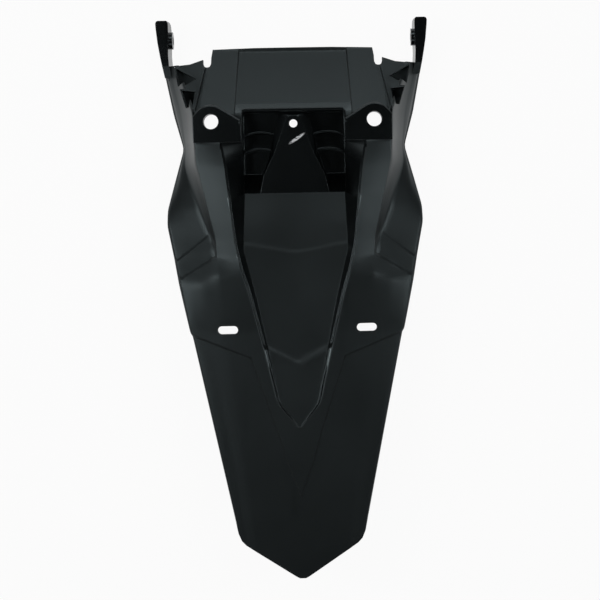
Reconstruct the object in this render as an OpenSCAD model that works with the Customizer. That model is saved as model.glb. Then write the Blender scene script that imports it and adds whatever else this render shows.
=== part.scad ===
// Rear fender of an off-road motorcycle, one injection moulding.
// X runs to the right, Y forward, Z up along the two main bolts.
// The origin is midway between the two main bolt holes, on the top of their pads.

/* [Mounting holes] */
// Distance between the two main bolt holes
bolt_spacing = 163; // [150:1:176]
// Diameter of the main bolt holes, for a flanged collar
bolt_hole_d = 15; // [12:0.5:18]
// Diameter of the seat screw hole in the middle tab
screw_hole_d = 8.2; // [6:0.2:10]
// Distance between the centres of the two rear slots
slot_spacing = 138.6; // [126:0.2:150]
// Distance from the bolt line back to the rear slots
slot_back = 207.8; // [196:0.2:214]
// Length of a rear slot
slot_l = 20; // [14:1:26]
// Width of a rear slot
slot_w = 8; // [6:0.5:10]
// Diameter of the bolt hole through each arm
arm_hole_d = 8.5; // [6:0.5:10]

/* [Moulding] */
// Wall thickness
wall = 2.8; // [2:0.1:3.6]
// Depth of the turned-down edge round the tail
skirt_h = 11; // [7:1:16]
// Height that the panel stands above the tongue
step_h = 1.6; // [0.8:0.1:2.4]
// Thickness of the stiffening ribs
rib_t = 2.2; // [1.6:0.1:3]

/* [Tail] */
// Distance from the bolt line back to the tail tip
tail_l = 457; // [400:1:550]
// Width of the tongue where it leaves the panel
tongue_root_w = 210; // [190:1:220]
// Width of the tongue at its rear corners
tongue_end_w = 131; // [100:1:150]
// Distance from the rear corners to the tip
tip_l = 55; // [40:1:70]
// Width of the panel just ahead of the tongue
panel_w = 214; // [200:1:226]
// Distance from the bolt line back to the panel's rear corners
panel_back = 210; // [205:1:230]
// Height of the tail tip over the panel
tail_rise = 14; // [6:1:24]
// Height of the panel over the bolt pads
panel_h = 8; // [4:0.5:10]

/* [Wings and rails] */
// Width across the two wings
wing_w = 258; // [240:1:290]
// Distance from the bolt line back to the widest point of the wings
wing_back = 95; // [85:1:105]
// Width across the neck, between the flanks and the wings
neck_w = 226; // [210:1:232]
// Distance from the bolt line back to the neck
neck_back = 25; // [20:1:30]
// Depth of the neck's lower edge under the pads
neck_drop = 39; // [30:1:48]
// Depth of the wing's edge under the pads at its widest point
wing_drop = 20; // [12:1:26]
// Width across the outer edges of the rails at the pads
rail_w = 199; // [190:1:206]
// Width across the outer edges of the rails at their rear end
rail_end_w = 159; // [150:1:166]
// Distance from the bolt line back to the rails' rear end
rail_back = 134; // [126:1:140]

/* [Channel] */
// Width between the rails at the pads
channel_w = 147; // [140:1:152]
// Width of the channel floor at its front end
floor_w = 101; // [94:1:104]
// Depth of the floor's front end under the pads
floor_drop = 18; // [12:1:22]
// Distance from the bolt line back to the channel floor's front end
floor_back = 72; // [66:1:78]
// Distance from the bolt line back to the channel's rear point
channel_back = 306; // [290:1:330]
// Height of the arrow-shaped step in the channel floor
chevron_h = 1.8; // [1:0.1:3]

/* [Front] */
// Distance from the bolt line forward to the front wall
front_wall_y = 11; // [8:1:14]
// Depth of the tray's rear edge under the pads
tray_drop = 34; // [28:1:40]
// Distance from the bolt line forward to the tray's front lip
tray_front = 79.5; // [66:0.5:88]
// Depth of the tray's front lip under the pads
lip_drop = 62; // [54:1:70]
// Width of the tray at its rear edge
tray_w = 194; // [180:1:198]
// Width of the tray at its front lip
lip_w = 166; // [150:1:170]
// Width of the sunk middle of the tray
tray_panel_w = 120; // [100:1:130]
// Width of the opening between the pads
window_w = 104; // [98:1:108]
// Depth of the pockets under the pads
pocket_drop = 44; // [38:1:50]
// Width across the outer faces of the two arms
arm_span = 278; // [266:1:290]
// Distance from the bolt line forward to the arm tips
arm_front = 106; // [96:1:120]
// Depth of the arms' top face under the pads
arm_drop = 42; // [34:1:48]
// Width of an arm's top flange
arm_flange = 13; // [10:0.5:16]
// Depth of an arm's web
arm_web = 24; // [18:1:28]

/* [Hidden] */
$fn = 24;

// Half height of a cutting prism
far = 100;
// Front end of the flanks, with their width and the depth of their lower edge there
flank_front = 60;
flank_w = 266;
flank_drop = 51;
tongue_end_y = tip_l - tail_l;
// Distance that the guide tables run past the tip
over = 20;
pad_r = 17;
boss_h = 12;
rib_places = [-12.5, -29];
groove_drop = 5;
tray_dip = 0.7;
arm_hole_x = arm_span / 2 - 14.5;
arm_hole_y = arm_front - 19;
arm_hole_z = -arm_drop - 12.5;
arm_boss_t = 4.4;

function mix(a, b, t) = a + (b - a) * t;
function clamp01(t) = max(0, min(1, t));

// Guide value at y, eased over a few millimetres so that its corners are round
function eased(table, y, r = 6) =
    (lookup(y - r, table) + 2 * lookup(y - r / 3, table) + 2 * lookup(y + r / 3, table)
    + lookup(y + r, table)) / 6;

// Guide curves of the top surface: [y, value], from the tail forward
half_width = [
    [-tail_l - over, tongue_end_w / 2 - 4], [tongue_end_y, tongue_end_w / 2],
    [-panel_back - 3, tongue_root_w / 2], [-panel_back, panel_w / 2],
    [-159, mix(panel_w, wing_w, 0.49) / 2], [-121, wing_w / 2 - 3.8],
    [-wing_back - 8, wing_w / 2], [-wing_back + 8, wing_w / 2 - 0.5],
    [-58, mix(wing_w, neck_w, 0.47) / 2], [-neck_back, neck_w / 2],
    [10, mix(neck_w, flank_w, 0.5) / 2], [flank_front, flank_w / 2]];

spine_z = [
    [-tail_l - over, panel_h + tail_rise + 1.5], [-tail_l, panel_h + tail_rise],
    [-panel_back, panel_h - step_h], [-rail_back, panel_h - step_h],
    [-floor_back, 5], [-21, 4], [-20, 0], [flank_front, 0]];

edge_z = [
    [-tail_l - over, panel_h + tail_rise - 5], [-tail_l, panel_h + tail_rise - 5],
    [-panel_back, panel_h - 8], [-159, 1 - wing_drop * 0.25],
    [-121, -wing_drop * 0.7], [-wing_back, -wing_drop],
    [-58, -mix(wing_drop, neck_drop, 0.45)], [-neck_back, -neck_drop],
    [10, -mix(neck_drop, flank_drop, 0.75)], [flank_front, -flank_drop]];

rail_out = [
    [-tail_l - over, 40], [-panel_back, 72], [-rail_back, rail_end_w / 2], [-118, rail_end_w / 2 + 1],
    [-41, rail_w / 2 - 1], [0, rail_w / 2], [9, rail_w / 2], [flank_front, 119]];

rail_z = [
    [-tail_l - over, panel_h + tail_rise], [-tail_l, panel_h + tail_rise - 0.5],
    [-panel_back, panel_h - step_h - 1], [-rail_back, panel_h - step_h - 1], [-floor_back, 3.5],
    [-21, 2], [-19, -0.5], [9, -0.5], [flank_front, -arm_drop + 4]];

foot_x = [
    [-tail_l - over, 46], [-panel_back, 88], [-rail_back - 12, 96], [-118, rail_end_w / 2 + 5], [-85, 97],
    [-64, 104], [-41, neck_w / 2 - 2], [-neck_back, neck_w / 2 - 3],
    [10, 113], [flank_front, flank_w / 2 - 7]];

foot_z = [
    [-tail_l - over, panel_h + tail_rise - 1.2], [-tail_l, panel_h + tail_rise - 1.5],
    [-panel_back, panel_h - step_h - 2], [-rail_back - 12, 3], [-118, 0], [-85, -9],
    [-64, -17], [-41, 10 - neck_drop], [-neck_back, 6 - neck_drop],
    [10, -31], [flank_front, -flank_drop + 6]];

// Half section of the top surface at y, from the middle to the edge, as [x, z]
function half_section(y) =
    let (w = eased(half_width, y), zs = eased(spine_z, y, 2), ze = eased(edge_z, y),
         xo = eased(rail_out, y, 3), zo = eased(rail_z, y, 2),
         xf = min(eased(foot_x, y), w - 3), zf = eased(foot_z, y),
         tail = clamp01((-y - 140) / 60),
         edge = mix(zf, ze, mix(0.95, 0.75, tail)))
    [[0, zs], [xo * 0.6, zs], [xo * 0.9, zs + mix(0.7, -0.3, tail)], [xo, zo],
     [mix(xo, xf, 0.5), mix(zo, zf, mix(0.58, 0.4, tail))],
     [xf, zf],
     [mix(xf, w, 0.3), mix(zf, ze, mix(0.24, 0.1, tail))],
     [mix(xf, w, 0.7), mix(zf, ze, mix(0.62, 0.3, tail))],
     [w - 2.3, edge], [w + 7.7, edge - 8]];

// Half width of the flank's outer face at y and height z
function flank_x(y, z) =
    lookup(-z, [for (i = [3:9]) let (q = half_section(y)[i]) [-q[1], q[0]]]);

function unit(v) = v / norm(v);
function left_of(v) = [-v[1], v[0]];

// Open outline moved down and inwards by d, with mitred corners
function inset_line(p, d) = [
    for (i = [0:len(p) - 1])
    let (a = unit(p[min(i + 1, len(p) - 1)] - p[min(i, len(p) - 2)]),
         b = unit(p[max(i, 1)] - p[max(i - 1, 0)]),
         n = left_of(a), m = left_of(b))
    p[i] - d * (n + m) / (1 + n * m)];

function mirrored(half) = concat(
    [for (i = [len(half) - 1:-1:1]) [-half[i][0], half[i][1]]], half);

function at_y(points, y) = [for (q = points) [q[0], y, q[1]]];

// Ring at y: the top outline, a level lower edge, and a deep middle where the pockets hang
function ring(y, top, z_edge, z_deep) =
    let (x = top[len(top) - 1][0])
    at_y(concat([[14 - x, z_deep], [10 - x, z_edge], [-x, z_edge]], top,
                [[x, z_edge], [x - 10, z_edge], [x - 14, z_deep]]), y);

// Twice the area that a ring encloses, positive when it runs clockwise seen from behind
function turn(r) = [for (i = [0:len(r) - 1])
    let (a = r[i], b = r[(i + 1) % len(r)]) a[2] * b[0] - b[2] * a[0]] * [for (q = r) 1];

// Solid skinned over closed rings of equal length, which run from the tail forward
module skin(rings) {
    n = len(rings[0]);
    m = len(rings);
    flip = turn(rings[1]) < 0;
    polyhedron(
        points = [for (r = rings, j = [0:n - 1]) r[flip ? n - 1 - j : j]],
        faces = concat(
            [[for (j = [0:n - 1]) j]],
            [for (i = [0:m - 2], j = [0:n - 1]) [i * n + j, (i + 1) * n + j, i * n + (j + 1) % n]],
            [for (i = [0:m - 2], j = [0:n - 1])
                [(i + 1) * n + j, (i + 1) * n + (j + 1) % n, i * n + (j + 1) % n]],
            [[for (j = [n - 1:-1:0]) (m - 1) * n + j]]));
}

// Section places from the tail forward, closest where the surface turns most
function stations(pitch) = concat(
    [for (y = [-tail_l - 10:2 * pitch:-panel_back - 7]) y], [-panel_back - 4, -panel_back - 1],
    [for (y = [-panel_back + 5:pitch:-28]) y], [-23, -21.5, -20.5, -19, -8, 4],
    [for (y = [12.7:pitch:flank_front - 3]) y], [flank_front]);

// Everything under the top surface, lowered by inset and raised by lift
module under_top(inset, lift = 0) {
    skin([for (y = stations(inset > 0 ? 12 : 9))
        ring(y, [for (q = inset_line(mirrored(half_section(y)), inset)) q + [0, lift]],
             eased(edge_z, y) - skirt_h - (inset > 0 ? 30 : 0),
             min(eased(edge_z, y) - skirt_h, y > -100 ? -lip_drop - 6 : 100) - (inset > 0 ? 40 : 1))]);
}

module half_and_half() {
    children();
    mirror([1, 0]) children();
}

// Plan outline of the tail, wings and flanks
plan_half = concat(
    [[3, -tail_l], [6.8, 2 - tail_l], [tongue_end_w / 2 - 9.5, tongue_end_y - 21],
     [tongue_end_w / 2 - 5.2, tongue_end_y - 16.5], [tongue_end_w / 2 - 2, tongue_end_y - 9],
     [tongue_end_w / 2 + 0.4, tongue_end_y + 2]],
    [for (y = [-panel_back - 3, -panel_back]) [lookup(y, half_width), y]],
    [for (y = [-198.5:9:flank_front - 3]) [eased(half_width, y), y]],
    [[flank_w / 2, flank_front]]);

function both_sides(half) = concat(
    [for (p = half) [-p[0], p[1]]], [for (i = [len(half) - 1:-1:0]) half[i]]);

module plan(inset) {
    offset(delta = -inset) polygon(both_sides(plan_half));
}

module prism() {
    translate([0, 0, -far]) linear_extrude(2 * far) children();
}

// Raised panel with its spine, and the rails that run forward from it to the pads
module panel_outline() {
    polygon(both_sides([
        [0, -376], [13.8, -339], [21.8, -311], [47.2, -236], [102.5, -213.4], [135, -200],
        [135, -168], [112.3, -154], [rail_end_w / 2, -rail_back], [rail_end_w / 2 + 0.6, -118],
        [rail_w / 2 - 1.2, -41], [rail_w / 2, -21], [rail_w / 2 - 60, -21]]));
}

// Lower lip of the vent line on each wing
module vent_outline() {
    polygon(both_sides([
        [0, -190], [135, -190], [135, -150], [115.5, -135], [89.5, -115], [rail_end_w / 2 - 5, -111]]));
}

module raised() {
    intersection() {
        union() {
            intersection() {
                under_top(0, step_h);
                prism() panel_outline();
            }
            intersection() {
                under_top(0, step_h / 2);
                prism() vent_outline();
            }
        }
        prism() plan(0);
    }
}

// Height and half width of the channel floor, and half width of the channel's rim
floor_z = [
    [-channel_back, panel_h + 0.9 - chevron_h], [-283, panel_h + 0.4 - chevron_h], [-243, 4], [-178, -0.5],
    [-129, -6.5], [-floor_back, -floor_drop], [-20, -floor_drop]];
floor_half = [
    [-channel_back, 0.3], [-283, 18.7], [-226, 30], [-178, 40], [-129, 52.5], [-floor_back, floor_w / 2],
    [-20, window_w / 2 - 0.2]];
rim_half = [
    [-channel_back, 0.9], [-283, 20.7], [-226.5, 34], [-170, 48], [-146, 55.5], [-122, 60.8],
    [-96, 63.7], [-67.5, 66.7], [-43.5, 69.3], [-20, channel_w / 2]];

// Seat channel: a floor, sloping walls and a small ledge under the rim
module channel_space(inset) {
    skin([for (y = [-channel_back, -295, -283, -272, -258, -243, -226.5, -210, -194, -178, -170, -158, -146,
                    -134, -122, -109, -96, -floor_back, -56, -43.5, -32, -20.6])
        let (f = lookup(y, floor_half) + inset * 0.8, r = lookup(y, rim_half) + inset,
             z = lookup(y, floor_z) - inset, top = eased(spine_z, y, 2) + step_h,
             drop = min(3, max(0.05, (top - z) * 0.4)))
        at_y([[-f, z], [f, z], [r - min(2.2, r * 0.2), top - drop - inset], [r, top - drop + 0.8],
              [r, 40], [-r, 40], [-r, top - drop + 0.8], [min(2.2, r * 0.2) - r, top - drop - inset]], y)]);
}

// Rear end of the channel floor, raised behind an arrow-shaped line
module chevron(inset) {
    intersection() {
        prism() offset(delta = -inset) polygon(both_sides([
            [0, -channel_back - 30], [60, -channel_back - 30], [60, -209.7], [0, -242]]));
        skin([for (y = [-channel_back - 40, -channel_back, -283, -243, -178])
            let (z = lookup(y, floor_z) - inset)
            at_y([[-70, z - 40], [70, z - 40], [70, z + chevron_h], [-70, z + chevron_h]], y)]);
    }
}

module channel_void(inset) {
    difference() {
        channel_space(inset);
        chevron(inset);
    }
}

// Land that carries the two pads and the front wall
module land_outline() {
    half_and_half() hull() {
        translate([bolt_spacing / 2, 0]) circle(pad_r, $fn = 48);
        translate([window_w / 2, -60]) square([rail_w / 2 - window_w / 2 - 0.3, 61.5]);
    }
    translate([-window_w / 2, -60]) offset(r = 4) offset(delta = -4)
        square([window_w, 60 + front_wall_y + wall]);
}

tab_half = [[-floor_back - 2, 36], [-54, 33], [-32, 24.5], [-8, 19], [front_wall_y + 1, 12.3]];

// Space between the pads, down to the middle tab, with a deep pocket on each side of the tab
module window_void(inset) {
    translate([-window_w / 2 - inset, -22, -floor_drop - inset])
        cube([window_w + 2 * inset, 22 + front_wall_y + inset, 60]);
    translate([-window_w / 2 - inset, 0, -floor_drop + 2.5])
        cube([window_w + 2 * inset, 40, 60]);
    intersection() {
        prism() offset(delta = inset) offset(r = 4) offset(delta = -4) pocket_outline();
        skin([for (q = [[-floor_back - 0.5, -floor_drop], [-52, -pocket_drop],
                        [front_wall_y + 5, -pocket_drop]])
            at_y([[-90, q[1] - inset], [90, q[1] - inset], [90, 30], [-90, 30]], q[0])]);
    }
}

module pocket_outline() {
    half_and_half() polygon(concat(
        [for (y = [-floor_back, -54, -32, -8, front_wall_y]) [lookup(y, tab_half), y]],
        [[window_w / 2 - 0.7, front_wall_y], [window_w / 2 - 0.7, -floor_back]]));
}

// Cross ribs in the pockets, with arched tops
module pocket_ribs() {
    for (y = rib_places) intersection() {
        translate([-window_w / 2 - 1, y - rib_t / 2, -pocket_drop - 1]) cube([window_w + 2, rib_t, 30]);
        translate([0, y, -pocket_drop - 160 + 19]) rotate([90, 0, 0])
            cylinder(r = 160, h = 2 * rib_t, center = true, $fn = 180);
        prism() offset(delta = 1) pocket_outline();
    }
}

// Height of the tray, and the places where its sections are taken
tray_z = [[0, -tray_drop], [front_wall_y, -tray_drop], [tray_front - 8, -lip_drop],
          [tray_front + 20, -lip_drop]];
tray_places = [front_wall_y, 30, 45, flank_front - 2, tray_front - 8, tray_front + 30];

// Space over the tray, between the flanks
module tray_void(inset) {
    difference() {
        skin([for (y = concat([-2 - inset], tray_places))
            let (z = lookup(y, tray_z) - 1.2, xo = eased(rail_out, y, 3), zo = eased(rail_z, y, 2) - 0.4,
                 b = flank_x(y, z) - wall * 1.25 + inset * 1.6, r = xo - wall + inset * 1.6,
                 c = xo - wall + inset * 0.6 + 9)
            at_y([[-b, z - inset], [b, z - inset], [r, zo - inset], [c, zo - inset], [c, 40],
                  [-c, 40], [-c, zo - inset], [-r, zo - inset]], y)]);
        prism() offset(delta = -inset) land_outline();
    }
}

// Plan outline of the tray with its two gussets
module tray_outline() {
    half_and_half() difference() {
        polygon([[-1, front_wall_y + 0.5], [window_w / 2 + 1, front_wall_y + 0.5], [window_w / 2 + 1, -4],
                 [118, -4], [122, 50], [121.5, 61.5], [106, 63], [92.5, 67.5], [lip_w / 2 + 7, 64.5],
                 [lip_w / 2 + 2, 67], [lip_w / 2, tray_front - 1.3], [lip_w / 4, tray_front],
                 [-1, tray_front]]);
        translate([lip_w / 2 + 5.3, 63]) circle(4);
    }
}

// Tray: a sloping plate whose middle is sunk a little
module tray_block(inset) {
    intersection() {
        skin([for (y = concat([-2], tray_places))
            let (z = lookup(y, tray_z) - inset, b = inset > 0 ? 30 : 6,
                 x = flank_x(y, z) - wall * 0.6 - inset,
                 c = tray_panel_w / 2 - 4.5 * clamp01(y / tray_front))
            at_y([[-x, z - b], [x, z - b], [x, z], [c + 0.6, z], [c - 0.6, z - tray_dip],
                  [0.6 - c, z - tray_dip], [-c - 0.6, z], [-x, z]], y)]);
        prism() offset(delta = -inset) tray_outline();
    }
}

// Groove along each side of the tray, from the notch to the pad
module groove(inset) {
    intersection() {
        prism() half_and_half() offset(delta = inset)
            polygon([[lip_w / 2 + 3.7, 61], [lip_w / 2 + 6.9, 61],
                     [tray_w / 2 + 3.6, front_wall_y + 2.3], [tray_w / 2 + 0.4, front_wall_y + 2.3]]);
        skin([for (y = [front_wall_y - 6, tray_front])
            let (z = lookup(y, tray_z) - groove_drop - inset)
            at_y([[-110, z], [110, z], [110, z + 60], [-110, z + 60]], y)]);
    }
}

// Hollows in each gusset, either side of a thin rib
module gusset_hollows(inset) {
    half_and_half() {
        translate([0, 0, -59 - inset]) linear_extrude(60) offset(delta = inset)
            polygon([[120.3, 58.8], [100, 47.5], [115.5, 41.5]]);
        translate([0, 0, -57 - inset]) linear_extrude(60) offset(delta = inset)
            polygon([[112.5, 36], [101, 34.5], [103.8, 15.2], [106, 15.2]]);
    }
}

// One arm: a flat flange with a web under its inner edge, solid where it grows out of the flank
module arm() {
    translate([arm_hole_x, arm_hole_y, arm_hole_z]) rotate([0, 90, 0])
        cylinder(d = arm_hole_d + 9, h = arm_boss_t, center = true);
    // Each row: y, sweep inwards from the tip, web depth as a share, web thickness
    skin([for (q = [[48, 8.7, 1, 9], [flank_front, 6.1, 1, 5], [72, 3.9, 0.95, wall], [84, 2, 0.9, wall],
                    [arm_front - 8, 0.6, 0.8, wall], [arm_front, 0, 0.45, wall]])
        let (xo = arm_span / 2 - q[1] - 0.4, xi = xo - arm_flange, z = -arm_drop,
             d = arm_web * q[2], t = q[3])
        at_y([[xi, z], [xi - 1.5, z - d], [xi - 1.5 + t, z - d], [xi + t, z - wall],
              [xo - wall, z - wall - 0.01], [xo - wall + 0.4, z - wall - 3], [xo + 0.4, z - wall - 3],
              [xo, z]], q[0])]);
}

// Outer form at inset 0, or the space inside the shell at inset wall
module form(inset) {
    difference() {
        union() {
            intersection() {
                under_top(inset);
                prism() plan(inset);
            }
            if (inset == 0) raised();
        }
        channel_void(inset);
        window_void(inset);
        tray_void(inset);
    }
    tray_block(inset);
}

module moulding() {
    difference() {
        union() {
            difference() {
                form(0);
                groove(0);
                gusset_hollows(0);
            }
            half_and_half() bolt_boss();
        }
        difference() {
            form(wall);
            groove(wall);
            gusset_hollows(wall);
            half_and_half() bolt_boss();
        }
    }
    pocket_ribs();
    half_and_half() arm();
}

// Collar seat under a pad
module bolt_boss() {
    translate([bolt_spacing / 2, 0, -boss_h])
        cylinder(d = bolt_hole_d + 2 * wall + 2, h = boss_h - 1, $fn = 40);
}

// The mesh is taken at its own width, so that the round holes stay exact
module fender() {
    color("#26282a")
    difference() {
        resize([arm_span, 0, 0]) moulding();
        for (s = [-1, 1]) translate([s * bolt_spacing / 2, 0, -20])
            cylinder(d = bolt_hole_d, h = 40, $fn = 48);
        translate([0, -2, -30]) cylinder(d = screw_hole_d, h = 40, $fn = 32);
        for (s = [-1, 1]) translate([s * slot_spacing / 2, -slot_back, -20]) {
            for (e = [-1, 1] * (slot_l - slot_w) / 2) translate([e, 0, 0])
                cylinder(d = slot_w, h = 40, $fn = 32);
            translate([-(slot_l - slot_w) / 2, -slot_w / 2, 0]) cube([slot_l - slot_w, slot_w, 40]);
        }
        for (s = [-1, 1]) translate([s * arm_hole_x, arm_hole_y, arm_hole_z]) rotate([0, 90, 0])
            cylinder(d = arm_hole_d, h = 12, center = true, $fn = 32);
    }
}

fender();
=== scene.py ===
# %% [markdown]
# # Rear fender of an off-road motorcycle
# The real object is one injection moulding in black plastic: a thin shell with a raised panel,
# a sunk seat channel, two wings, two bolt pads and two arms. This lesson rebuilds what it looks like
# over the measured frame, one form at a time, and joins the forms into one piece.

# %% Load the measured frame
import math

import bmesh
import bpy
import numpy as np
from mathutils import Matrix, Vector


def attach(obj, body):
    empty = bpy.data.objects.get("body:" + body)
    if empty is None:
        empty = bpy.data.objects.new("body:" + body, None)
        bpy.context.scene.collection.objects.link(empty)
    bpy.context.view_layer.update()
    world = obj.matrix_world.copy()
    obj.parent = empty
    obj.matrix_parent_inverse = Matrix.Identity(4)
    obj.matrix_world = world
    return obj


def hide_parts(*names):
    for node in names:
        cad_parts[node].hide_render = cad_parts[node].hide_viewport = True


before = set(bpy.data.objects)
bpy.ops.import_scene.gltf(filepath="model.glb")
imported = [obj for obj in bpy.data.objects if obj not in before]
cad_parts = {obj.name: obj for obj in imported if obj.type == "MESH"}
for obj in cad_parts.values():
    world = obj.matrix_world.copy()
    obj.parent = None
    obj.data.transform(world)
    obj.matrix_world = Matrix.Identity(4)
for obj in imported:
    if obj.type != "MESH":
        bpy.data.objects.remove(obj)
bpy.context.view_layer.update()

# %% [markdown]
# ## Camera
# The photograph looks straight down on the fender from about 1.4 m, a little from its right. The
# camera comes first, because every later choice is compared with the photograph through it.

# %% Camera
scene = bpy.context.scene
eye_data = bpy.data.cameras.new("camera")
eye_data.sensor_width = 36
eye_data.lens = 83.7
eye_data.shift_x = -0.138
eye_data.shift_y = -0.007
eye = bpy.data.objects.new("camera", eye_data)
eye.matrix_world = (Matrix.Translation((0.0385, -0.0978, 1.4))
                    @ Matrix.Rotation(math.radians(-3.253), 4, "X")
                    @ Matrix.Rotation(math.radians(-1.948), 4, "Y")
                    @ Matrix.Rotation(math.radians(-1.306), 4, "Z"))
scene.collection.objects.link(eye)
scene.camera = eye
print("lens", eye_data.lens, "mm")

# %% [markdown]
# ## Guide curves
# A fender is drawn as a few long curves that run from the tail to the front: its edge, its spine and
# the rail beside the seat channel. Each curve here is a short table of places, in millimetres, and
# guide() rounds its corners the way a curve tool would. X runs right, Y forward and Z up. A
# photograph from straight above gives the widths but no heights. The heights are chosen so that the
# light falls as it does there: rails that lean outwards and shine, and a nearly level dark panel.


# %% Guides
WALL = 2.8  # thickness of the moulding
STEP = 1.6  # how far the panel stands proud
FRONT = 60.0  # where the lofted body ends
BOLT_X, BOLT_RADIUS = 81.5, 7.5
SCREW_Y, SCREW_RADIUS = -2, 4.1
ARM_HOLE, ARM_HOLE_RADIUS = (124.5, 87, -54.5), 4.25
SLOT_X, SLOT_Y, SLOT_RADIUS, SLOT_REACH = 69.3, -207.8, 4, 6


def guide(table, ease=5.0):
    ys, values = zip(*table)
    shares = np.linspace(-1, 1, 9)
    weights = 1.2 - shares ** 2

    def at(y):
        return float(np.dot(np.interp(y + shares * ease, ys, values), weights) / weights.sum())
    return at


half_width = guide([(-477, 61.5), (-402, 65.5), (-213, 105), (-210, 107), (-159, 117.8),
                    (-137, 121.9), (-121, 125.2), (-103, 129), (-87, 128.6), (-58, 121.5),
                    (-25, 113), (10, 123), (60, 133)])
spine = guide([(-477, 23.5), (-457, 22), (-210, 6.4), (-134, 6.4), (-100, 6.2), (-72, 5.4),
               (-45, 3.4), (-30, 1.2), (-21.5, -0.6), (-20.5, 0), (60, 0)], 1.5)
edge = guide([(-477, 19), (-457, 19), (-210, 4), (-159, 0), (-121, -8.5), (-95, -14.5),
              (-58, -28.5), (-25, -39), (10, -48), (60, -51)], 8)
rail = guide([(-477, 40), (-210, 72), (-134, 79.5), (-118, 80.5), (-41, 98.5), (0, 99.5),
              (9, 99.5), (60, 119)], 4)
rail_top = guide([(-477, 22.5), (-457, 22), (-210, 6.4), (-153, 6.1), (-135, 1.4), (-100, 0.4),
                  (-72, -0.8), (-45, -2.4), (-30, -3.2), (-21.5, -3.4), (-19, -0.5), (9, -0.5),
                  (60, -38)], 1.5)
foot = guide([(-477, 46), (-210, 88), (-146, 96), (-118, 84.5), (-85, 97), (-64, 104),
              (-41, 111), (-25, 110), (10, 113), (60, 126)], 7)
foot_top = guide([(-477, 20.8), (-457, 21), (-210, 6.1), (-160, 5.5), (-141, -0.6),
                  (-118, -4.5), (-85, -10), (-64, -17.5), (-41, -29), (-25, -33), (10, -31),
                  (60, -45)], 7)
print("width at the wings:", round(2 * half_width(-95), 1))


# %% [markdown]
# ## The section
# At each place along the fender the section is a line of ten corners from the middle to the edge.
# inset_line() moves it in by the wall thickness with mitred corners, which gives the inner face,
# and soften() rounds each corner with a short curve. Both faces of the shell come from one drawing.


# %% Section
def mix(a, b, t):
    return a + (b - a) * t


def section(y):
    w, zs, ze = half_width(y), spine(y), edge(y)
    xo, zo = rail(y), rail_top(y)
    xf, zf = min(foot(y), w - 3), foot_top(y)
    tail = min(1, max(0, (-y - 140) / 60))
    lip = mix(zf, ze, mix(0.95, 0.3, tail))
    return [(0, zs), (xo * 0.64, zs), (xo * 0.84, mix(zs, zo, 0.5)), (xo, zo),
            (mix(xo, xf, 0.5), mix(zo, zf, mix(0.58, 0.4, tail))), (xf, zf),
            (mix(xf, w, 0.3), mix(zf, ze, mix(0.24, 0.04, tail))),
            (mix(xf, w, 0.7), mix(zf, ze, mix(0.62, 0.12, tail))),
            (w - mix(2.3, 0.6, tail), lip), (w + mix(7.7, 1.7, tail), lip - 8)]


def mirrored(half):
    return [(-x, z) for x, z in half[:0:-1]] + list(half)


def inset_line(line, gap):
    points = [Vector(p) for p in line]
    moved = []
    for i, p in enumerate(points):
        ahead = (points[min(i + 1, len(points) - 1)] - points[min(i, len(points) - 2)]).normalized()
        back = (points[max(i, 1)] - points[max(i - 1, 0)]).normalized()
        n, m = Vector((-ahead.y, ahead.x)), Vector((-back.y, back.x))
        moved.append(p - gap * (n + m) / (1 + n.dot(m)))
    return moved


def soften(line, reach, steps):
    points = [Vector(p) for p in line]
    soft = [points[0]]
    for i in range(1, len(points) - 1):
        p, before, after = points[i], points[i - 1] - points[i], points[i + 1] - points[i]
        r = reach(i)
        start = p + before.normalized() * min(r, before.length * 0.45)
        end = p + after.normalized() * min(r, after.length * 0.45)
        soft.append(soft[-1].lerp(start, 0.5))
        for s in range(steps + 1):
            t = s / steps
            soft.append((1 - t) ** 2 * start + 2 * t * (1 - t) * p + t ** 2 * end)
    soft += [soft[-1].lerp(points[-1], 0.5), points[-1]]
    return soft


REACH = {1: 5, 2: 5, 3: 2.6, 4: 7, 5: 12, 6: 10, 7: 10, 8: 1.6}


def full_section(y, gap):
    line = mirrored(section(y))
    last = len(line) - 1
    if gap:
        line = inset_line(line, gap)
    return soften(line, lambda i: REACH.get(abs(i - last // 2), 12), 4 if gap == 0 else 2)


print("points across the outer face:", len(full_section(-100, 0)))


# %% [markdown]
# ## Forms from grids
# Every lofted form starts as a flat grid whose rows are laid on the sections. A sheet becomes solid
# when its faces are extruded down; a tube is welded along its seam and its ends are filled.


# %% Grid helpers
def lay_grid(rows):
    down, across = len(rows) - 1, len(rows[0]) - 1
    form = bmesh.new()
    bmesh.ops.create_grid(form, x_segments=across, y_segments=down, size=1)
    for v in form.verts:
        i, j = round((v.co.x + 1) / 2 * across), round((v.co.y + 1) / 2 * down)
        v.co = rows[j][i]
    return form


def tube(rings):
    form = lay_grid([ring + [ring[0]] for ring in rings])
    bmesh.ops.remove_doubles(form, verts=form.verts[:], dist=0.0005)
    ends = [e for e in form.edges if e.is_boundary]
    bmesh.ops.holes_fill(form, edges=ends, sides=0)
    bmesh.ops.recalc_face_normals(form, faces=form.faces[:])
    return form


def piece(name, form):
    mesh = bpy.data.meshes.new(name)
    form.to_mesh(mesh)
    form.free()
    made = bpy.data.objects.new(name, mesh)
    scene.collection.objects.link(made)
    return made


def combine(base, tool, how):
    step = base.modifiers.new("join", "BOOLEAN")
    step.object = tool
    step.operation = how
    step.solver = "MANIFOLD"
    view = bpy.context.evaluated_depsgraph_get()
    joined = bpy.data.meshes.new_from_object(base.evaluated_get(view))
    base.modifiers.clear()
    base.data = joined
    bpy.data.objects.remove(tool)
    return base


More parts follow.
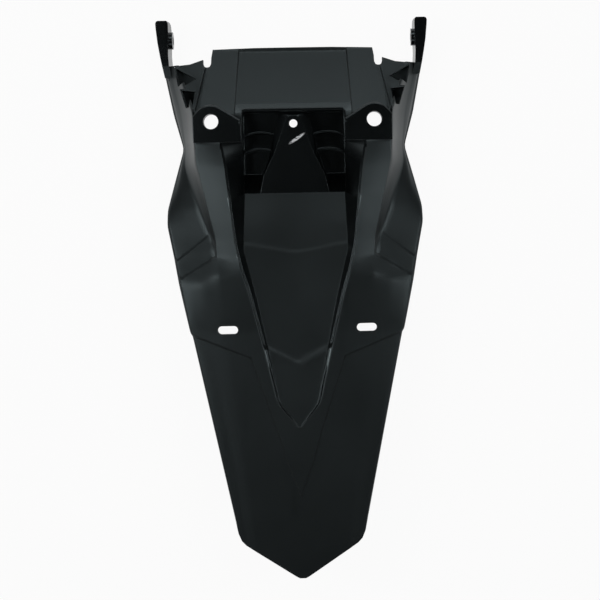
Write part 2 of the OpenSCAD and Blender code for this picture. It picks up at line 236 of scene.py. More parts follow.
def prism(outline, low=-150, high=80):
    form = bmesh.new()
    face = form.faces.new([form.verts.new((x, y, low)) for x, y in outline])
    top = bmesh.ops.extrude_face_region(form, geom=[face])
    verts = [g for g in top["geom"] if isinstance(g, bmesh.types.BMVert)]
    bmesh.ops.translate(form, verts=verts, vec=(0, 0, high - low))
    bmesh.ops.recalc_face_normals(form, faces=form.faces[:])
    return form


def round_off(form, edges, offset, segments):
    bmesh.ops.bevel(form, geom=edges, affect="EDGES", offset=offset, segments=segments,
                    profile=0.5, material=-1)


def front_corners(form):
    return [e for e in form.edges
            if abs(e.verts[0].co.z - e.verts[1].co.z) > 1 and e.verts[0].co.y > 0]


def both(half):
    return [(-x, y) for x, y in half] + [(x, y) for x, y in reversed(half) if x > 0]


def grown(outline, gap):
    points = [Vector(p) for p in outline]
    area = sum(a.x * b.y - b.x * a.y for a, b in zip(points, points[1:] + points[:1]))
    side = 1 if area > 0 else -1
    out = []
    for i, p in enumerate(points):
        ahead = (points[(i + 1) % len(points)] - p).normalized()
        back = (p - points[i - 1]).normalized()
        n, m = Vector((ahead.y, -ahead.x)) * side, Vector((back.y, -back.x)) * side
        out.append(p + gap * (n + m) / max(0.3, 1 + n.dot(m)))
    return out


# %% [markdown]
# ## Score lines
# The panel stands 1.6 mm proud of the tongue and wings, with a crisp sloped edge. The grid's own
# rows don't follow that edge, so bisect_plane first cuts the faces along it, twice, and the points
# inside are then lifted. This gives a clean line at any angle, with no finer grid. Of the two gill
# lines on each wing, the rear one is the panel's own edge, and the front one is the edge of a lower
# outline that fades out towards the rail.


# %% Score lines
PANEL = [(0, -376), (13.8, -339), (21.8, -311), (47.2, -236), (102.5, -213.4), (140, -198),
         (140, -168), (112.3, -154), (79.5, -134), (80.4, -118), (98.0, -41), (99.5, -21),
         (90, -21), (0, -21)]
VENT = [(0, -250), (140, -250), (140, -150), (115.5, -135), (89.5, -115), (78, -106), (0, -106)]


def inside_by(outline, x, y):
    p = Vector((abs(x), y))
    near, crossed = 1e9, False
    for i in range(len(outline)):
        a, b = Vector(outline[i - 1]), Vector(outline[i])
        if not (a.x < 0.5 and b.x < 0.5):
            t = max(0, min(1, (p - a).dot(b - a) / (b - a).length_squared))
            near = min(near, (p - a - t * (b - a)).length)
        if (a.y > p.y) != (b.y > p.y) and p.x < (b.x - a.x) * (p.y - a.y) / (b.y - a.y) + a.x:
            crossed = not crossed
    return near if crossed else -near


def score(form, a, b, gaps, reach=9.0, stretch=3.0):
    a, b = Vector((*a, 0)), Vector((*b, 0))
    along = (b - a).normalized()
    across = Vector((-along.y, along.x, 0))
    length = (b - a).length
    for gap in gaps:
        faces = []
        for f in form.faces:
            c = f.calc_center_median()
            c.z = 0
            beside, past = abs((c - a).dot(across)), (c - a).dot(along)
            if beside < reach and -stretch < past < length + stretch:
                faces.append(f)
        edges = list({e for f in faces for e in f.edges})
        verts = list({v for f in faces for v in f.verts})
        bmesh.ops.bisect_plane(form, geom=faces + edges + verts, dist=0.02,
                               plane_co=a + across * gap, plane_no=across)


SLOPE = 2.1


def lift(x, y):
    ramp = lambda d: max(0.0, min(1.0, 0.5 + d / SLOPE))
    panel = ramp(inside_by(PANEL, x, y))
    vent = ramp(inside_by(VENT, x, y)) * max(0, min(1, (abs(x) - 83) / 5)) if y > -190 else 0.0
    return STEP * max(panel, 0.5 * vent)


# %% [markdown]
# ## Outer and inner body
# The shell is made as two solids: the form you would touch, and the mould's core inside it. The core
# is drawn from the same guide curves, one wall further in, and is taken away at the end. A
# Solidify modifier would be quicker, but it can tear walls where the channel and pockets fold the
# surface back on itself. Each body is laid as a grid, pulled down into a block and cut to its plan.

# %% Outer and inner body
def places(pitch):
    rows = list(np.arange(-468, -216, pitch * 1.5)) + [-214.5, -212, -210.5]
    rows += list(np.arange(-208, -27, pitch)) + [-24, -22.2, -20.8, -19.4, -16]
    return rows + list(np.arange(-12, FRONT - 1.5, pitch)) + [FRONT]


def body(gap):
    rows = []
    for y in places(3.0 if gap == 0 else 8.0):
        rows.append([Vector((x, y, z)) for x, z in full_section(y, gap)])
    form = lay_grid(rows)
    if gap == 0:
        for outline, lines in ((PANEL, range(1, 11)), (VENT, range(3, 5))):
            for k in lines:
                for side in (1, -1):
                    a, b = ((side * outline[i][0], outline[i][1]) for i in (k - 1, k))
                    if max(abs(a[0]), abs(b[0])) < 139 or k in (5, 8, 3):
                        score(form, a, b, (-SLOPE / 2, SLOPE / 2))
        for v in form.verts:
            v.co.z += lift(v.co.x, v.co.y)
    faces = bmesh.ops.extrude_face_region(form, geom=form.faces[:])
    for v in [g for g in faces["geom"] if isinstance(g, bmesh.types.BMVert)]:
        rim = half_width(v.co.y) + 7.7 - abs(v.co.x)
        skirt = edge(v.co.y) - (11 if v.co.y > -150 else 14)
        deep = min(skirt, -68) if v.co.y > -100 else skirt
        v.co.z = -150 if gap else mix(skirt, deep - 1, min(1, max(0, (rim - 10) / 4)))
    bmesh.ops.recalc_face_normals(form, faces=form.faces[:])
    return piece("body", form)


PLAN = both([(3, -457), (6.8, -455), (56, -423), (60.3, -418.5), (63.5, -411), (65.9, -400),
             (105, -213), (107, -210)]
            + [(half_width(y), y) for y in np.arange(-204, FRONT - 2, 4)] + [(133, FRONT)])

outer = body(0)
combine(outer, piece("plan", prism(PLAN)), "INTERSECT")
inner = body(WALL)
combine(inner, piece("plan", prism(grown(PLAN, -WALL))), "INTERSECT")
print("outer", len(outer.data.polygons), "inner", len(inner.data.polygons))


# %% [markdown]
# ## Seat channel
# The sunk channel, where the rear end of the seat would sit, narrows to a point on the tongue. Its
# space is made as a tube that follows the floor and the rim, and is carved out of both bodies. The
# floor has two steps in it: a V across the rear, and a slight one further forward.

# %% Seat channel
floor_top = guide([(-306, 10.4), (-283, 9.0), (-243, 4.4), (-178, -0.5), (-132, -6.5),
                   (-72, -18), (-20, -18)], 1.5)
floor_half = guide([(-306, 0.3), (-283, 18.7), (-226, 30), (-178, 40), (-129, 52.5),
                    (-72, 50.5), (-20, 51.8)], 4)
rim_half = guide([(-306, 0.9), (-283, 20.7), (-226.5, 34), (-170, 48), (-146, 55.5),
                  (-122, 60.8), (-96, 63.7), (-67.5, 66.7), (-43.5, 69.3), (-20, 73.5)], 5)
CHEVRON = 2.0


def channel_floor(x, y, gap):
    lean = 10.5 / 54.5 * abs(x) * max(0, min(1, (-y - 74) / 30, (y + 200) / 40))
    behind = -242 + 16.4 / 30.5 * abs(x) - y
    width = 5.6 - 0.08 * abs(x)
    crease = -132 + 10.5 / 54.5 * abs(x) - y
    step = CHEVRON * max(0, min(1, 0.5 + behind / width)) + 0.5 * max(0, min(1, 0.5 + crease / 1.6))
    return floor_top(y - lean) + step - gap


def channel(gap):
    ys = [-306, -303, -299] + list(np.arange(-295, -250, 6)) + list(np.arange(-247, -221, 1.6))
    ys += list(np.arange(-218, -136, 7)) + list(np.arange(-134, -118, 1.5))
    ys += list(np.arange(-114, -74, 6))
    ys += [-72, -64, -56, -48, -43.5, -38, -32, -26, -20.6]
    rings = []
    for y in ys:
        f, r = floor_half(y) + gap * 0.8, rim_half(y) + gap
        top = spine(y) + STEP
        floor = [channel_floor(x, y, gap) for x in (f, f - 2)]
        drop = min(3, max(0.05, (top - floor[0]) * 0.4))
        ledge = min(2.2, r * 0.2)
        half = [(max(f - 2, f * 0.8), floor[1]), (f, floor[0] + 0.15),
                (r - ledge, top - drop - gap), (r - ledge * 0.35, top - drop + 0.15 - gap),
                (r, top - 0.9 - gap * 0.5), (r + 0.25, top - 0.35),
                (r + 0.9, top + 0.02), (r + 1.7, top + 0.7), (r + 1.7, 60)]
        xs = np.linspace(-half[0][0], half[0][0], 13)
        ring = [Vector((x, y, channel_floor(x, y, gap))) for x in xs[:-1]]
        ring += [Vector((x, y, z)) for x, z in half]
        ring += [Vector((-x, y, z)) for x, z in reversed(half[1:])]
        rings.append(ring)
    return piece("channel", tube(rings))


# %% [markdown]
# ## Space between the pads
# In front of the channel a window is let down between the two pads, with a deep pocket on each side of
# a tab that takes the seat's screw. The tab has a round front end and sloping sides. A convex hull
# around a circle and a few corners makes such a tapered block in one step.

# %% Space between the pads
POCKET = 44.0


def box(x0, x1, y0, y1, z0, z1):
    return prism([(x0, y0), (x1, y0), (x1, y1), (x0, y1)], z0, z1)


def well(gap, rear, low):
    form = box(-51.6 - gap, 51.6 + gap, rear, 10.8 + gap, low, 60)
    round_off(form, front_corners(form), 4.5 + gap, 6)
    return piece("well", form)


def hull(name, points, circles=()):
    form = bmesh.new()
    for x, y, z, radius in circles:
        ring = bmesh.ops.create_circle(form, segments=48, radius=radius)["verts"]
        bmesh.ops.translate(form, verts=ring, vec=(x, y, z))
    for p in points:
        form.verts.new(p)
    made = bmesh.ops.convex_hull(form, input=form.verts[:])
    left = made["geom_interior"] + made["geom_unused"]
    spare = {g for g in left if isinstance(g, bmesh.types.BMVert)}
    bmesh.ops.delete(form, geom=list(spare), context="VERTS")
    bmesh.ops.dissolve_limit(form, angle_limit=0.01, verts=form.verts[:], edges=form.edges[:])
    bmesh.ops.recalc_face_normals(form, faces=form.faces[:])
    return piece(name, form)


def pockets(gap):
    rings = []
    for y, z in ((-72.5, -18), (-52, -POCKET), (16, -POCKET)):
        corners = (-90, z - gap), (90, z - gap), (90, 30), (-90, 30)
        rings.append([Vector((x, y, h)) for x, h in corners])
    made = well(gap, -72, -120)
    return combine(made, piece("ramp", tube(rings)), "INTERSECT")


# Half width of the tab at its top edge and at the foot of its sloping side, from front to back
TAB = [(-33, 20.5, 24.7), (-54, 31, 33), (-76, 35.6, 36.4)]


def tab(gap):
    top, side, low = -18 - gap, -22.4 - gap, -47.5

    def corners(y, a, b):
        return [(s * x, y, z) for s in (1, -1)
                for x, z in ((a - gap * 0.7, top), (b - gap, side), (b - gap, low))]

    front = hull("tab", corners(*TAB[0]) + [(s * x, y, z) for s in (1, -1) for z in (side, low)
                                           for x, y in ((13 - gap, 10.8), (19.2 - gap, -8))],
                 [(0, SCREW_Y, top, 8.3 - gap * 0.5)])
    for near, far in zip(TAB, TAB[1:]):
        combine(front, hull("tab", corners(*near) + corners(*far)), "UNION")
    return front


def window(base, gap):
    combine(base, well(gap, -22, -18 - gap), "DIFFERENCE")
    combine(base, pockets(gap), "DIFFERENCE")
    combine(base, tab(gap), "UNION")


# %% [markdown]
# ## Tray
# The tray slopes down forwards from the pads. The space over it is carved away first, between the
# flanks, and then the tray is put back as its own block, with a slightly sunk middle panel and a
# small notch near each front corner.

# %% Tray
tray_top = guide([(0, -34), (11, -34), (75.5, -62), (110, -62)], 0.6)
tray_side = guide([(0, -34), (11, -34), (78, -62), (110, -62)], 0.6)


def flank_at(y, z):
    line = section(y)[3:]
    zs = [-p[1] for p in line]
    return float(np.interp(-z, zs, [p[0] for p in line]))


TRAY_ROWS = [11, 20, 30, 40, 50, 57, 66, 74.5, 75.8, 77, 78.3, 107]


def tray_space(gap):
    rings = []
    for y in [-2 - gap] + TRAY_ROWS:
        z = tray_top(y) - 1.2 - gap
        yy = min(y, FRONT)
        b = flank_at(yy, z + gap) - WALL * 1.25 + gap * 1.6
        r = rail(yy) - WALL + gap * 1.6
        zo = rail_top(yy) - gap
        half = [(b, z), (r, zo), (r + 9, zo), (r + 9, 40)]
        rings.append([Vector((-x, y, h)) for x, h in half[:0:-1] + half[:1]]
                     + [Vector((x, y, h)) for x, h in half])
    return piece("tray_space", tube(rings))


TRAY = [(0, 11.5), (53, 11.5), (53, -4), (118, -4), (122, 50), (121.5, 61.5), (106, 63), (92.5, 67.5),
        (92.3, 63), (91.1, 60.2), (88.3, 59), (85.5, 60.2), (84.3, 63), (84, 70), (82.6, 78.2),
        (40, 79.4), (0, 79.5)]


def tray_block(gap):
    rings = []
    for y in [-2] + TRAY_ROWS:
        z, zs, below = tray_top(y) - gap, tray_side(y) - gap, (30 if gap else 6)
        x = flank_at(min(y, FRONT), z) - WALL * 0.6 - gap
        c = float(np.interp(y, (11, 79.5), (60, 55.5)))
        half = [(x, z - below), (x, zs - 4.5), (94, zs), (c + 0.5, zs), (c - 0.5, z - 0.7)]
        rings.append([Vector((h[0], y, h[1])) for h in half]
                     + [Vector((-h[0], y, h[1])) for h in reversed(half)])
    made = piece("tray", tube(rings))
    return combine(made, piece("outline", prism(grown(both(TRAY), -gap))), "INTERSECT")


# %% [markdown]
# ## Pads and front wall
# Each pad is a flat boss with a round front, where the fender bolts to the motorcycle's subframe. The
# wall between the pads closes the front of the window. Only the pads' front and inner rims and the
# wall's top rim are soft, so the bevel is given just those edges.

# %% Pads and front wall
def pad(side, gap):
    rear = -20.8 + gap
    near, far = 52 + gap, 99.3 - gap
    corners = [(side * x, y, z) for z in (-gap, -46)
               for x, y in ((near, 1.5 - gap), (far, 6 - gap), (far, rear), (near, rear))]
    made = hull("pad", corners, [(side * BOLT_X, 0, z, 17 - gap) for z in (-gap, -46)])
    if gap == 0:
        form = bmesh.new()
        form.from_mesh(made.data)
        rim = [e for e in form.edges if all(abs(v.co.z) < 1e-6 for v in e.verts)
               and max(v.co.y for v in e.verts) > -20 and min(abs(v.co.x) for v in e.verts) < 99]
        round_off(form, rim, 2.4, 4)
        form.to_mesh(made.data)
        form.free()
    return made


def front_wall(gap):
    top = -15.5 - gap
    form = box(-52 + gap, 52 - gap, -20, 13.8 - gap, -46, top)
    round_off(form, front_corners(form), 4, 5)
    if gap == 0:
        rim = [e for e in form.edges
               if all(abs(v.co.z - top) < 1e-6 and v.co.y > -10 for v in e.verts)]
        round_off(form, rim, 1.1, 4)
    return piece("front_wall", form)


# %% [markdown]
# ## Side grooves and gussets
# A narrow groove separates the tray from a gusset on each side. The gusset stiffens the root of the
# arm, and two hollows keep its walls thin. A short round boss under each pad carries the bolt.

# %% Side grooves and gussets
def groove(side, gap):
    outline = [(86.7, 61), (89.9, 61), (100.6, 13.3), (97.4, 13.3)]
    rings = []
    for y in (4, 80):
        z = tray_top(y) - 5 - gap
        corners = (-112, z), (112, z), (112, z + 60), (-112, z + 60)
        rings.append([Vector((x, y, h)) for x, h in corners])
    made = piece("groove", prism([(side * x, y) for x, y in grown(outline, gap)]))
    return combine(made, piece("depth", tube(rings)), "INTERSECT")


def hollows(side, gap):
    wide = grown([(120.5, 58.8), (99.5, 47.2), (116.2, 38)], gap)
    narrow = grown([(114, 35.2), (100.6, 33.8), (103.5, 15.2), (107.5, 15.2)], gap)
    made = piece("hollow", prism([(side * x, y) for x, y in wide], -59 - gap, 2))
    second = piece("hollow", prism([(side * x, y) for x, y in narrow], -57 - gap, 4))
    return combine(made, second, "UNION")


def bolt_boss(side):
    form = bmesh.new()
    bmesh.ops.create_cone(form, cap_ends=True, segments=48, radius1=11.3, radius2=11.3, depth=11)
    bmesh.ops.translate(form, verts=form.verts[:], vec=(side * BOLT_X, 0, -6.5))
    return piece("boss", form)


# %% [markdown]
# ## Carve both faces of the shell
# The same list of cuts and joins is run on the outer form and on the inner one, where the cuts are
# larger by about the wall and the added blocks are smaller by it. The inner form is then taken from
# the outer one, and what is left is a shell with a nearly even wall round every pocket and pad.

# %% Carve both faces of the shell
def carve(base, gap):
    combine(base, channel(gap), "DIFFERENCE")
    combine(base, tray_space(gap), "DIFFERENCE")
    for side in (1, -1):
        combine(base, pad(side, gap), "UNION")
    combine(base, front_wall(gap), "UNION")
    window(base, gap)
    combine(base, tray_block(gap), "UNION")
    for side in (1, -1):
        combine(base, groove(side, gap), "DIFFERENCE")
        combine(base, hollows(side, gap), "DIFFERENCE")
        combine(base, bolt_boss(side), "DIFFERENCE" if gap else "UNION")
    return base


carve(outer, 0)
print("outer form", len(outer.data.polygons), "faces")
carve(inner, WALL)
print("inner form", len(inner.data.polygons), "faces")
shell = combine(outer, inner, "DIFFERENCE")


# %% [markdown]
# ## Pocket ribs
# Two thin curved ribs stand across each pocket. Each is an arc drawn in plan, pulled up into a wall
# and rounded along its top, where the photograph shows a thin bright line.

# %% Pocket ribs
def pocket_rib(side, y, last):
    angles = np.radians(np.linspace(62, last, 17))
    outline = [(34 + r * math.cos(t), y - 37 + r * math.sin(t))
               for r, turn in ((38.1, angles), (35.9, angles[::-1])) for t in turn]
    form = prism([(side * x, h) for x, h in outline], -45, -27)
    rim = [e for e in form.edges if all(abs(v.co.z + 27) < 1e-6 for v in e.verts)]
    round_off(form, rim, 0.8, 4)
    return piece("rib", form)


for side in (1, -1):
    combine(shell, pocket_rib(side, -9.8, 114), "UNION")
    combine(shell, pocket_rib(side, -26.6, 107), "UNION")


# %% [markdown]
# ## Arms
# The two arms reach forward and bolt to the side panels. In the photograph each is seen from above, as
# a narrow flange that widens towards its tip. Its upright web and the boss round its hole are mostly
# hidden, so their depth is a guess. The section changes along the arm, so it is a tube of rings.

# %% Arms
# Place along the arm, sweep inwards, share of the web's depth, web's thickness, flange's width
ARM_ROWS = [(48, 8.7, 1, 5, 7), (60, 6.1, 1, 4, 7), (72, 3.9, 0.95, 2.8, 8.6), (84, 2, 0.9, 2.8, 11),
            (98, 0.6, 0.8, 2.8, 12.6), (103.2, 0.3, 0.6, 2.8, 12.8), (105.2, 1.1, 0.5, 2.8, 11.2),
            (106, 2.8, 0.45, 2.8, 8.6)]


def arm(side):
    rings = []
    for y, sweep, share, thick, width in ARM_ROWS:
        xo = 139 - sweep
        xi, z, d = xo - width, -42, 24 * share
        half = [(xi, z), (xi - 1.5, z - d), (xi - 1.5 + thick, z - d), (xi + thick, z - WALL),
                (xo - WALL, z - WALL - 0.01), (xo - WALL, z - WALL - 3), (xo, z - WALL - 3), (xo, z)]
        rings.append([Vector((side * x, y, h)) for x, h in half])
    made = piece("arm", tube(rings))
    boss = bmesh.new()
    bmesh.ops.create_cone(boss, cap_ends=True, segments=48, radius1=8.75, radius2=8.75, depth=4.4)
    bmesh.ops.rotate(boss, verts=boss.verts[:], matrix=Matrix.Rotation(math.radians(90), 3, "Y"))
    x, y, z = ARM_HOLE
    bmesh.ops.translate(boss, verts=boss.verts[:], vec=(side * x, y, z))
    return combine(made, piece("boss", boss), "UNION")


for side in (1, -1):
    combine(shell, arm(side), "UNION")


# %% [markdown]
# ## Holes
# The holes come last, so that they pass cleanly through whatever was joined before them: the seat's
# screw, the two large bolt holes, one hole in each arm, and the two slots for a lamp or plate holder.

# %% Holes
def drill(x, y, z, radius, depth, turn=None):
    form = bmesh.new()
    bmesh.ops.create_cone(form, cap_ends=True, segments=64, radius1=radius, radius2=radius,
                          depth=depth)
    if turn:
        quarter = Matrix.Rotation(math.radians(90), 3, turn)
        bmesh.ops.rotate(form, verts=form.verts[:], matrix=quarter)
    bmesh.ops.translate(form, verts=form.verts[:], vec=(x, y, z))
    combine(shell, piece("drill", form), "DIFFERENCE")


drill(0, SCREW_Y, -15, SCREW_RADIUS, 30)
for side in (1, -1):
    drill(side * BOLT_X, 0, 0, BOLT_RADIUS, 40)
    drill(side * ARM_HOLE[0], ARM_HOLE[1], ARM_HOLE[2], ARM_HOLE_RADIUS, 12, "Y")
    slot = bmesh.new()
    for end in (-SLOT_REACH, SLOT_REACH):
        for z in (-20, 20):
            ring = bmesh.ops.create_circle(slot, segments=40, radius=SLOT_RADIUS)["verts"]
            bmesh.ops.translate(slot, verts=ring, vec=(side * SLOT_X + end, SLOT_Y, z))
    bmesh.ops.convex_hull(slot, input=slot.verts[:])
    bmesh.ops.recalc_face_normals(slot, faces=slot.faces[:])
    combine(shell, piece("slot", slot), "DIFFERENCE")
print("shell", len(shell.data.polygons), "faces")

# %% [markdown]
# ## Finish the mesh
# Booleans leave points that lie almost on each other, so these are merged. The form was drawn in
# millimetres and is scaled to metres here. Edges sharper than 24 degrees stay crisp, and the weighted
# normals keep the large faces flat in the shading beside the small ones.

# %% Finish the mesh
SHARP = math.radians(24)
MERGE = 0.002
METRES = 0.001

shell.name = shell.data.name = "fender_moulding"
done = bmesh.new()
done.from_mesh(shell.data)
bmesh.ops.remove_doubles(done, verts=done.verts[:], dist=MERGE)
bmesh.ops.scale(done, verts=done.verts[:], vec=(METRES, METRES, METRES))
for f in done.faces:
    f.smooth = True
for e in done.edges:
    e.smooth = len(e.link_faces) == 2 and e.calc_face_angle(0) < SHARP
open_edges = [e for e in done.edges if not e.is_manifold]
triangles = sum(len(f.verts) - 2 for f in done.faces)
print("open edges", len(open_edges), "triangles", triangles)
done.to_mesh(shell.data)
done.free()
even = shell.modifiers.new("even_shading", "WEIGHTED_NORMAL")
even.keep_sharp = True


# %% [markdown]
# ## Moulded plastic
# The fender is black all through, so its looks come from how smooth the mould was. The outer panels
# carry a fine grain that spreads a reflection. The pads, the tab, the pockets, the channel's walls
# and the arms are plain and glossier. One recipe makes both: a fine noise for the grain, a slow one
# for uneven gloss, and a stretched one for the smoother rubs of handling. The Bevel node rounds each
# edge by 0.6 mm in the shading, and where it bends the surface most, the edge is also painted a
# little paler: a painted highlight along every edge.


# %% Plastic recipe
def node(tree, kind, **values):
    made = tree.nodes.new(kind)
    for name, value in values.items():
        setattr(made, name, value)
    return made


def wire(tree, source, target):
    tree.links.new(source, target)


def noise(tree, place, scale, detail, stretch=(1, 1, 1), turn=0.0):
    turned = node(tree, "ShaderNodeMapping")
    turned.inputs["Rotation"].default_value = (0, 0, turn)
    turned.inputs["Scale"].default_value = stretch
    cloud = node(tree, "ShaderNodeTexNoise")
    cloud.inputs["Scale"].default_value = scale
    cloud.inputs["Detail"].default_value = detail
    wire(tree, place, turned.inputs["Vector"])
    wire(tree, turned.outputs["Vector"], cloud.inputs["Vector"])
    return cloud.outputs["Fac"]


def spread(tree, source, low, high, out_low, out_high):
    ramp = node(tree, "ShaderNodeMapRange", clamp=True)
    values = {"From Min": low, "From Max": high, "To Min": out_low, "To Max": out_high}
    for name, value in values.items():
        ramp.inputs[name].default_value = value
    wire(tree, source, ramp.inputs["Value"])
    return ramp.outputs["Result"]


def plastic(name, tone, rough, grain_depth):
    finish = bpy.data.materials.new(name)
    finish.use_nodes = True
    tree = finish.node_tree
    skin = tree.nodes["Principled BSDF"]
    skin.inputs["IOR"].default_value = 1.49
    skin.inputs["Specular Tint"].default_value = (0.8, 0.96, 1, 1)
    place = node(tree, "ShaderNodeTexCoord").outputs["Object"]

    round_edge = node(tree, "ShaderNodeBevel", samples=6)
    round_edge.inputs["Radius"].default_value = 0.0006
    grain = node(tree, "ShaderNodeBump")
    grain.inputs["Distance"].default_value = grain_depth
    grain.inputs["Strength"].default_value = 0.5
    wire(tree, noise(tree, place, 1500, 2), grain.inputs["Height"])
    wire(tree, round_edge.outputs["Normal"], grain.inputs["Normal"])
    wire(tree, grain.outputs["Normal"], skin.inputs["Normal"])

    flat = node(tree, "ShaderNodeNewGeometry")
    bend = node(tree, "ShaderNodeVectorMath", operation="DOT_PRODUCT")
    wire(tree, round_edge.outputs["Normal"], bend.inputs[0])
    wire(tree, flat.outputs["Normal"], bend.inputs[1])
    # Where the rounded normal bends away from the face, the edge is painted paler: a painted
    # highlight.
    edge_highlight_share = spread(tree, bend.outputs["Value"], 0.99, 0.75, 0, 1)

    tint = node(tree, "ShaderNodeMix", data_type="RGBA")
    tint.inputs["A"].default_value = (*[t * 0.85 for t in tone], 1)
    tint.inputs["B"].default_value = (*[t * 1.2 for t in tone], 1)
    wire(tree, noise(tree, place, 14, 4), tint.inputs["Factor"])
    # Painted highlight: the base colour turns paler along every edge.
    painted_edge_highlight = node(tree, "ShaderNodeMix", data_type="RGBA")
    painted_edge_highlight.inputs["B"].default_value = (0.03, 0.031, 0.032, 1)
    wire(tree, edge_highlight_share, painted_edge_highlight.inputs["Factor"])
    wire(tree, tint.outputs["Result"], painted_edge_highlight.inputs["A"])
    wire(tree, painted_edge_highlight.outputs["Result"], skin.inputs["Base Color"])

    rubs = spread(tree, noise(tree, place, 60, 5, (1, 0.12, 1), 0.35), 0.62, 0.78, 0, 0.08)
    cloudy = spread(tree, noise(tree, place, 11, 3), 0.3, 0.7, rough - 0.03, rough + 0.03)
    gloss = node(tree, "ShaderNodeMath", operation="SUBTRACT", use_clamp=True)
    wire(tree, cloudy, gloss.inputs[0])
    wire(tree, rubs, gloss.inputs[1])
    wire(tree, gloss.outputs["Value"], skin.inputs["Roughness"])
    return finish


grained = plastic("grained_black", (0.004, 0.0047, 0.0048), 0.38, 0.00005)
plain = plastic("plain_black", (0.0022, 0.0027, 0.0029), 0.2, 0.00001)

# %% [markdown]
# ## The pale mark
# A pale, streaked mark about 20 mm long lies aslant on the tab behind the screw hole. It is
# mixed into the plain plastic's colour and roughness as a mask: a long thin ellipse, turned to its
# slant, and broken up by a noise that is stretched along it.

# %% Pale mark
tree = plain.node_tree
skin = tree.nodes["Principled BSDF"]
place = next(n for n in tree.nodes if n.type == "TEX_COORD").outputs["Object"]
slant = math.radians(34)
local = node(tree, "ShaderNodeMapping", vector_type="TEXTURE")
local.inputs["Location"].default_value = (0.0033, -0.0172, -0.018)
local.inputs["Rotation"].default_value = (0, 0, slant)
local.inputs["Scale"].default_value = (0.0105, 0.0018, 0.004)
wire(tree, place, local.inputs["Vector"])
reach = node(tree, "ShaderNodeVectorMath", operation="LENGTH")
wire(tree, local.outputs["Vector"], reach.inputs[0])
pale_mark_mask = node(tree, "ShaderNodeMath", operation="MULTIPLY")
wire(tree, spread(tree, reach.outputs["Value"], 1.0, 0.6, 0, 1), pale_mark_mask.inputs[0])
streaks = noise(tree, place, 420, 4, (0.35, 1.6, 1), -slant)
wire(tree, spread(tree, streaks, 0.36, 0.46, 0, 1), pale_mark_mask.inputs[1])
for socket, value in (("Base Color", (0.75, 0.76, 0.78, 1)), ("Roughness", (0.7, 0.7, 0.7, 1))):
    old = skin.inputs[socket].links[0].from_socket
    pale_mark_mix = node(tree, "ShaderNodeMix", data_type="RGBA")
    pale_mark_mix.inputs["B"].default_value = value
    wire(tree, pale_mark_mask.outputs["Value"], pale_mark_mix.inputs["Factor"])
    wire(tree, old, pale_mark_mix.inputs["A"])
    wire(tree, pale_mark_mix.outputs["Result"], skin.inputs[socket])

# %% [markdown]
# ## Put the finishes on
# One piece can carry two finishes. Each face takes the plainer plastic if its middle lies in the
# window, on a pad, on an arm or on a wall of the channel, and the grained one otherwise.

# %% Put the finishes on
shell.data.materials.clear()
for finish in (grained, plain):
    shell.data.materials.append(finish)
glossy = 0
for f in shell.data.polygons:
    x, y, z = (c * 1000 for c in f.center)
    in_window = -73 < y < 14.2 and abs(x) < 54 and z < -14
    on_pad = -20.9 < y < 20 and 51 < abs(x) < 99.6 and z > -3.5
    on_arm = y > 62 and abs(x) > 118
    in_channel = (-300 < y < -20.7 and floor_half(y) - 0.5 < abs(x) < rim_half(y) + 0.3
                  and z > floor_top(y) - 1)
    if in_window or on_pad or on_arm or in_channel:
        f.material_index = 1
        glossy += 1
print(glossy, "glossier faces of", len(shell.data.polygons))
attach(shell, "root")
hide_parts("fender")

# %% [markdown]
# ## Studio
# Black plastic shows its shape by what it reflects. The room is white up to just above the horizon
# and dark from there on, so a level face, which reflects what hangs overhead, stays black. Four soft
# boxes do the rest. Two long narrow ones hang to the left and right, about 40 degrees from straight
# up, and light the faces that lean outwards, such as the rails. The left one is the stronger. One in
# front lights the tray, and a weak one behind lights the tail.


# %% Room
world = bpy.data.worlds.new("studio")
scene.world = world
world.use_nodes = True
sky = world.node_tree
way = node(sky, "ShaderNodeTexCoord")
height = node(sky, "ShaderNodeSeparateXYZ")
wire(sky, way.outputs["Generated"], height.inputs["Vector"])
band = spread(sky, height.outputs["Z"], 0.06, 0.2, 1.0, 0.02)
wire(sky, band, sky.nodes["Background"].inputs["Strength"])
sky.nodes["Background"].inputs["Color"].default_value = (1, 1, 1, 1)

target = Vector((0, -0.18, -0.02))


def soft_box(name, place, power, width, height):
    data = bpy.data.lights.new(name, "AREA")
    data.shape = "RECTANGLE"
    data.energy, data.size, data.size_y = power, width, height
    box_light = bpy.data.objects.new(name, data)
    place = Vector(place)
    box_light.matrix_world = (Matrix.Translation(place)
                              @ (target - place).to_track_quat("-Z", "Y").to_matrix().to_4x4())
    scene.collection.objects.link(box_light)


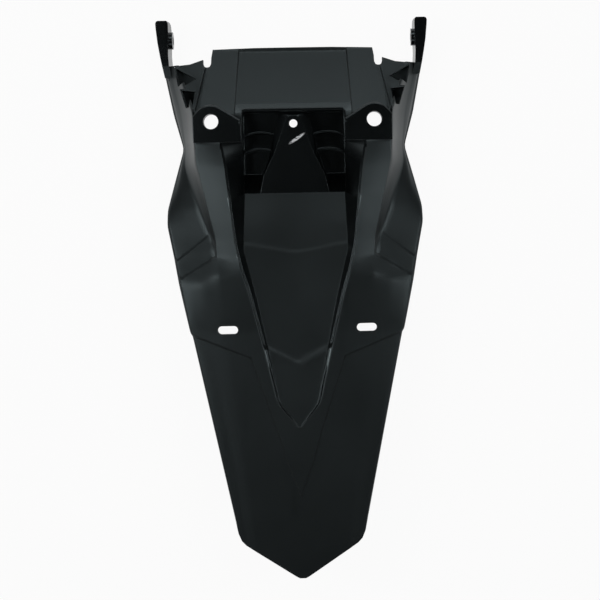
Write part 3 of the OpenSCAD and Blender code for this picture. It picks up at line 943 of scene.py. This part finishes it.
soft_box("front_box", (0, 1.15, 1.2), 6, 1.4, 0.5)
soft_box("rear_box", (0, -1.4, 1.2), 3, 1.2, 0.5)
soft_box("left_box", (-0.95, 0.05, 1.2), 6.5, 0.25, 1.2)
soft_box("right_box", (0.97, 0.05, 1.2), 5, 0.25, 1.2)

# %% [markdown]
# ## Floor
# White paper lies just under the fender. It takes the fender's shadow, and to the camera, to
# reflections and to rays through glass it shows mostly its own plain white. It is large, so that its
# far edge stays near the horizon.

# %% Floor
floor_form = bmesh.new()
bmesh.ops.create_grid(floor_form, x_segments=1, y_segments=1, size=12)
bmesh.ops.translate(floor_form, verts=floor_form.verts[:], vec=(0, -0.18, -0.0705))
sweep = piece("sweep", floor_form)
paper = bpy.data.materials.new("white_paper")
paper.use_nodes = True
sheet = paper.node_tree
sheet.nodes["Principled BSDF"].inputs["Base Color"].default_value = (0.85, 0.85, 0.85, 1)
sheet.nodes["Principled BSDF"].inputs["Roughness"].default_value = 0.9
glow = node(sheet, "ShaderNodeEmission")
glow.inputs["Strength"].default_value = 1.0
path = node(sheet, "ShaderNodeLightPath")
seen = node(sheet, "ShaderNodeMath", operation="MAXIMUM")
wire(sheet, path.outputs["Is Camera Ray"], seen.inputs[0])
wire(sheet, path.outputs["Is Glossy Ray"], seen.inputs[1])
also = node(sheet, "ShaderNodeMath", operation="MAXIMUM")
wire(sheet, seen.outputs["Value"], also.inputs[0])
wire(sheet, path.outputs["Is Transmission Ray"], also.inputs[1])
share = node(sheet, "ShaderNodeMath", operation="MULTIPLY")
share.inputs[1].default_value = 0.94
wire(sheet, also.outputs["Value"], share.inputs[0])
pick = node(sheet, "ShaderNodeMixShader")
wire(sheet, share.outputs["Value"], pick.inputs[0])
wire(sheet, sheet.nodes["Principled BSDF"].outputs["BSDF"], pick.inputs[1])
wire(sheet, glow.outputs["Emission"], pick.inputs[2])
wire(sheet, pick.outputs["Shader"], sheet.nodes["Material Output"].inputs["Surface"])
sweep.data.materials.append(paper)

# %% [markdown]
# ## Finish
# The last cell sets the view transform to Standard.

# %% Finish
scene.view_settings.view_transform = "Standard"
